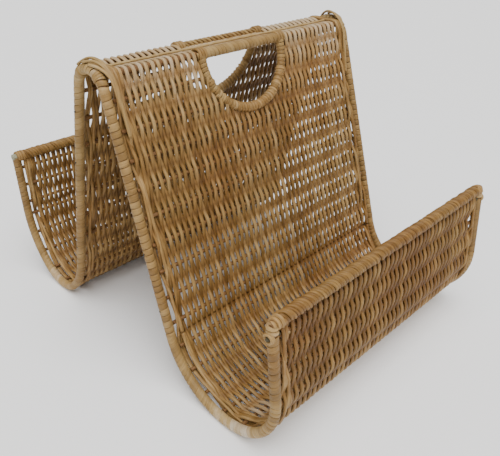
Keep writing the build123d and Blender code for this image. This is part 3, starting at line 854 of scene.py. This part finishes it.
def grip_winding(side):
    """Flat cane on the front grip, and round strands coiled on the back one."""
    strands = Strands()
    centre = middle(f"{side}_ridge_rod")
    if side == "front":
        wind(strands, lambda s: line_along_x(centre, s), every(Y_AXIS), every(Z_AXIS), -GRIP_WOUND_HALF,
             2 * GRIP_WOUND_HALF, GRIP_CANE_INNER, GRIP_CANE_OUTER, GRIP_STRIP, GRIP_TILT)
    else:
        x = np.arange(-GRIP_WOUND_HALF, GRIP_WOUND_HALF, COIL_STEP)
        for j in range(GRIP_COILS):
            wobble = wander(x, x[0], x[-1], GRIP_COIL_KNOTS, GRIP_COIL_WOBBLE)
            angle = 2 * math.pi * (x / GRIP_COIL_LEAD + j / GRIP_COILS) + wobble
            coil_strand(strands, centre, x, angle, GRIP_COIL_RADIUS, GRIP_COIL_HALF_WIDTH,
                        rng.uniform(*GRIP_COIL_TONES))
    strands.make(f"{side}_grip_winding", cane_material, "flat_cane", [f"{side}_grip_wrap"])


for side in ("front", "back"):
    hoop = HoopLine(side)
    hoop_winding(side, hoop)
    hoop_loops(side, hoop)
    grip_winding(side)

# ======== Borders, and the strands tied off at their ends ========
COIL_STARTS = 5
COIL_LEAD = 20.5 * MM
COIL_RADIUS = 5.3 * MM
COIL_HALF_WIDTH = 2.0 * MM
COIL_KNOTS = 60
COIL_WOBBLE = 0.16            # radians
COIL_SWELL = 0.35 * MM
# The border coils have lower tones than the woven strands, as painted shade.
COIL_TONES = (-0.05, 0.55)
TIE_START = 174 * MM
TIE_TURNS = 3.4
TIE_RADIUS = 5.6 * MM
TIE_HALF_WIDTH = 2.15 * MM
TIE_TONES = (0.6, 1.0)
TIE_STEPS = 90
TIE_FIRST_ANGLE = 0.7         # radians
TIE_CORE_START = 172 * MM
TIE_CORE_SHORT = 1.5 * MM     # of the spiral's end
TIE_CORE_RADIUS = 5.0 * MM
TIE_CORE_STEPS = 16
TIE_CORE_LAST = 0.97          # share of the way to a point at which its rounded end is cut off
TIE_CORE_BLUNTNESS = 8
# Radius of the spiral's end, its x, and how far the tie droops
TIE_OFFS = {"front": (1.2 * MM, 188.8 * MM, 0.5 * MM), "back": (5.0 * MM, 185.5 * MM, 0.0)}


def border_coil(side):
    """Strands coiled side by side round a lip's border rod."""
    low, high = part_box(f"{side}_border_wrap")
    strands = Strands()
    x = np.arange(low.x, high.x, COIL_STEP)
    for j in range(COIL_STARTS):
        wobble = wander(x, low.x, high.x, COIL_KNOTS, COIL_WOBBLE)
        swell = wander(x, low.x, high.x, COIL_KNOTS, COIL_SWELL)
        angle = 2 * math.pi * (x / COIL_LEAD + j / COIL_STARTS) + wobble
        coil_strand(strands, (low + high) / 2, x, angle, COIL_RADIUS + swell, COIL_HALF_WIDTH,
                    rng.uniform(*COIL_TONES))
    strands.make(f"{side}_border_coil", strand_material, "woven_strand", [f"{side}_border_wrap"])


def tie_off(side, hand, out):
    """Spiral of one thick strand over a border's end, from its coil outwards, round a closed core."""
    last_radius, last_x, droop = TIE_OFFS[side]
    strands = Strands()
    centre = middle(f"{side}_border_rod") - Vector((0, 0, droop))
    core_x = out * np.linspace(TIE_CORE_START, last_x - TIE_CORE_SHORT, TIE_CORE_STEPS)
    core_share = np.linspace(0, TIE_CORE_LAST, TIE_CORE_STEPS)
    core_radius = TIE_CORE_RADIUS * np.sqrt(1 - core_share ** TIE_CORE_BLUNTNESS)
    strands.sweep(line_along_x(centre, core_x), every(Z_AXIS)(core_x), core_radius, core_radius,
                  tone=0.35, sides=14)
    t = np.linspace(0, 1, TIE_STEPS)
    x = out * (TIE_START + (last_x - TIE_START) * t)
    radius = TIE_RADIUS + (last_radius - TIE_RADIUS) * t ** 3
    angle = out * 2 * math.pi * TIE_TURNS * t + TIE_FIRST_ANGLE
    coil_strand(strands, centre, x, angle, radius, TIE_HALF_WIDTH, rng.uniform(*TIE_TONES))
    strands.make(f"{side}_{hand}_tie_off", strand_material, "woven_strand",
                 [f"{side}_{hand}_corner_binding"])


for side in ("front", "back"):
    border_coil(side)
for hand, out in HANDS:
    for side in TIE_OFFS:
        tie_off(side, hand, out)

# ======== Rod ends beside the frames' tops and their loops ========
FRONT_END_SHIFT = 4.0 * MM    # the front rod end lies this far above the first cross rod
FRONT_END_X = (178 * MM, 192.6 * MM)
FRONT_END_RADIUS = 2.9 * MM
BACK_END_X = (185 * MM, 190.6 * MM)
BACK_END_RADIUS = 4.25 * MM
END_LOOP_X = 187.5 * MM
END_LOOP_LENGTH = 3.6 * MM
END_LOOP_TURNS = 2.1
END_LOOP_RADIUS = 4.5 * MM
END_LOOP_HALF_WIDTH = 1.7 * MM
END_LOOP_FIRST_ANGLE = 1.0    # radians
END_LOOP_STEPS = 60
FRAME_LOOP_STEPS = 64
CORNER_COIL_START = 1.0 * MM
CORNER_COIL_LENGTH = 8.5 * MM
CORNER_COIL_TURNS = 1.8
CORNER_COIL_RADIUS = 4.0 * MM
CORNER_COIL_SIZE = (2.2 * MM, 1.9 * MM)


def rod_end(name, centre, x, radius, drawn_in, share, tone, sides, crest=1.0):
    """Cut end of a rod along X, with this many of its last rings drawn in to a share of its radius."""
    strands = Strands()
    radii = np.full(len(x), radius)
    radii[-drawn_in:] *= share
    strands.sweep(line_along_x(centre, x), every(Z_AXIS)(x), radii, radii, tone, sides=sides, crest=crest)
    strands.make(name, end_material, "rattan_rod")


def frame_loop(strands, out, at, turn, radius, size, tone):
    """Strand that turns round a side frame, along the given distances of the profile."""
    radial = around(profile.normal(at), every(X_AXIS)(at), turn)
    points = profile.at(at, out * HALF_SPAN) + radial * radius
    strands.sweep(points, radial, *size, tone)


def front_end_loops(hand, out, centre):
    """Cane looped round the front rod end, and round the top of the side frame beside it."""
    strands = Strands()
    t = np.linspace(0, 1, END_LOOP_STEPS)
    coil_strand(strands, centre, out * (END_LOOP_X + END_LOOP_LENGTH * t),
                out * 2 * math.pi * END_LOOP_TURNS * t + END_LOOP_FIRST_ANGLE, END_LOOP_RADIUS,
                END_LOOP_HALF_WIDTH, tone=0.9)
    t = np.linspace(0, 1, FRAME_LOOP_STEPS)
    frame_loop(strands, out, CORNER_COIL_START + CORNER_COIL_LENGTH * t,
               out * 2 * math.pi * CORNER_COIL_TURNS * t, CORNER_COIL_RADIUS, CORNER_COIL_SIZE, tone=0.95)
    strands.make(f"front_{hand}_rod_loop", cane_material, "flat_cane")


# ======== Lashings over the frames at the ridge ========
LASHING_SPACING = 9 * MM
LASHING_LOOP_LENGTH = 6 * MM
LASHING_LOOP_TURNS = 2.2
LASHING_LOOP_RADIUS = 5.7 * MM
LASHING_LOOP_SIZE = (1.7 * MM, 0.6 * MM)
LASHED_SIZE = (1.9 * MM, 1.4 * MM)
LASHED_START = 48 * MM        # before the slope's top, and each next strand starts higher
LASHED_START_STEP = 7 * MM
LASHED_BEFORE_RIDGE = 4 * MM  # the second knot lies this far before the front ridge rod
LASHED_BEFORE_END = 6 * MM    # and the last two lie before and past the middle of the strand's end
LASHED_PAST_END = 5 * MM
LASHED_STEPS = 40
LASHED_ROUNDING = 7           # steps
LASHED_TONES = (0.75, 0.85, 0.95)
# In mm, for each knot from the slope to the frame's outer side: the first strand's x and how much
# larger each next strand's is, then the same for the lift
LASHING_KNOTS = ((173.5, 0, 5.2, 0), (176.0, 1, 9.6, -0.7), (181.0, 1, 10.4, -0.6), (188.6, 0, 5.6, 0))


def ridge_lashing(hand, out):
    """Loops round a side frame at both ridge rods, and strands laid from the slope over the frame."""
    strands = Strands()
    t = np.linspace(0, 1, FRAME_LOOP_STEPS)
    for place, lean in ((FRONT_RIDGE_S, 1), (BACK_RIDGE_S, -1)):
        frame_loop(strands, out, place + lean * LASHING_LOOP_LENGTH * (t - 0.5),
                   2 * math.pi * LASHING_LOOP_TURNS * t, LASHING_LOOP_RADIUS, LASHING_LOOP_SIZE, tone=0.6)
    first_x, more_x, first_lift, more_lift = np.array(LASHING_KNOTS).T * MM
    for j, tone in enumerate(LASHED_TONES):
        end = RIDGE_MIDDLE + (1 - j) * LASHING_SPACING
        start = FRONT_TOP - LASHED_START + j * LASHED_START_STEP
        marks = [start, FRONT_RIDGE_S - LASHED_BEFORE_RIDGE, end - LASHED_BEFORE_END,
                 end + LASHED_PAST_END]
        s = np.linspace(marks[0], marks[-1], LASHED_STEPS)
        x = smoothed(out * np.interp(s, marks, first_x + j * more_x), LASHED_ROUNDING)
        lift = smoothed(np.interp(s, marks, first_lift + j * more_lift), LASHED_ROUNDING)
        strands.sweep(profile.at(s, x, lift), profile.normal(s), *LASHED_SIZE, tone)
    strands.make(f"{hand}_ridge_lashing", cane_material, "flat_cane")


for hand, out in HANDS:
    front_end = Vector(profile.at(rod_s[:1] - FRONT_END_SHIFT, 0.0)[0])
    # The front rod end's crest of 0.35 darkens it all over with the hollows' painted shade and dirt.
    rod_end(f"front_{hand}_rod_end", front_end, out * np.linspace(*FRONT_END_X, 12), FRONT_END_RADIUS,
            drawn_in=2, share=0.6, tone=0.1, sides=14, crest=0.35)
    rod_end(f"back_{hand}_rod_end", middle("back_border_rod"), out * np.linspace(*BACK_END_X, 10),
            BACK_END_RADIUS, drawn_in=1, share=0.7, tone=0.9, sides=16)
    front_end_loops(hand, out, front_end)
    ridge_lashing(hand, out)

# ======== Camera, floor and light ========
CAMERA_PLACE = (-0.4665, -0.4869, 0.4944)
CAMERA_RIGHT = Vector((0.7123, -0.7018, 0.0132))
CAMERA_UP = Vector((0.3523, 0.3737, 0.8580))
CAMERA_LENS = 41.6            # in mm, like the sensor's width
SENSOR_WIDTH = 36
FLOOR_HALF = 6                # m
FLOOR_DROP = 0.2 * MM         # keeps the floor clear of the rack's worn feet
FLOOR_GREY = 0.97
FLOOR_ROUGHNESS = 0.9
SKY_COLOUR = (1.0, 0.99, 0.97, 1)
SKY_STRENGTH = 0.42
SUN_STRENGTH = 4.0
SUN_SPREAD = 60               # degrees, so that its shadows are soft
SUN_TILT = (16, -10, 0)
KEY_PLACE = Vector((-0.7, -1.3, 1.5))
KEY_TARGET = Vector((0, 0, 0.2))
KEY_SIZE = 0.8
KEY_POWER = 4


def add_object(name, data):
    """New object of this data in the scene."""
    added = bpy.data.objects.new(name, data)
    bpy.context.scene.collection.objects.link(added)
    return added


def add_camera():
    """Camera at the photograph's viewing angle."""
    data = bpy.data.cameras.new("camera")
    data.lens = CAMERA_LENS
    data.sensor_width = SENSOR_WIDTH
    camera = add_object("camera", data)
    axes = Matrix((CAMERA_RIGHT, CAMERA_UP, CAMERA_RIGHT.cross(CAMERA_UP))).transposed().to_4x4()
    camera.matrix_world = Matrix.Translation(CAMERA_PLACE) @ axes
    bpy.context.scene.camera = camera


def add_floor():
    """Plain pale floor."""
    corners = [(x * FLOOR_HALF, y * FLOOR_HALF, 0) for x, y in ((-1, -1), (1, -1), (1, 1), (-1, 1))]
    mesh = bpy.data.meshes.new("floor")
    mesh.from_pydata(corners, [], [(0, 1, 2, 3)])
    floor = add_object("floor", mesh)
    floor.location.z = -FLOOR_DROP
    surface = Surface("pale_floor")
    surface.shader.inputs["Base Color"].default_value = (FLOOR_GREY, FLOOR_GREY, FLOOR_GREY, 1)
    surface.shader.inputs["Roughness"].default_value = FLOOR_ROUGHNESS
    mesh.materials.append(surface.material)


def add_lights():
    """Soft light from a bright sky, a wide sun overhead and a key light in front."""
    world = bpy.data.worlds.new("studio")
    world.use_nodes = True
    background = world.node_tree.nodes["Background"]
    background.inputs["Color"].default_value = SKY_COLOUR
    background.inputs["Strength"].default_value = SKY_STRENGTH
    bpy.context.scene.world = world
    sun = add_object("overhead", bpy.data.lights.new("overhead", "SUN"))
    sun.data.energy = SUN_STRENGTH
    sun.data.angle = math.radians(SUN_SPREAD)
    sun.rotation_euler = [math.radians(tilt) for tilt in SUN_TILT]
    key = add_object("key", bpy.data.lights.new("key", "AREA"))
    key.data.size = KEY_SIZE
    key.data.energy = KEY_POWER
    key.location = KEY_PLACE
    key.rotation_euler = (KEY_TARGET - KEY_PLACE).to_track_quat("-Z", "Y").to_euler()


add_camera()
add_floor()
add_lights()
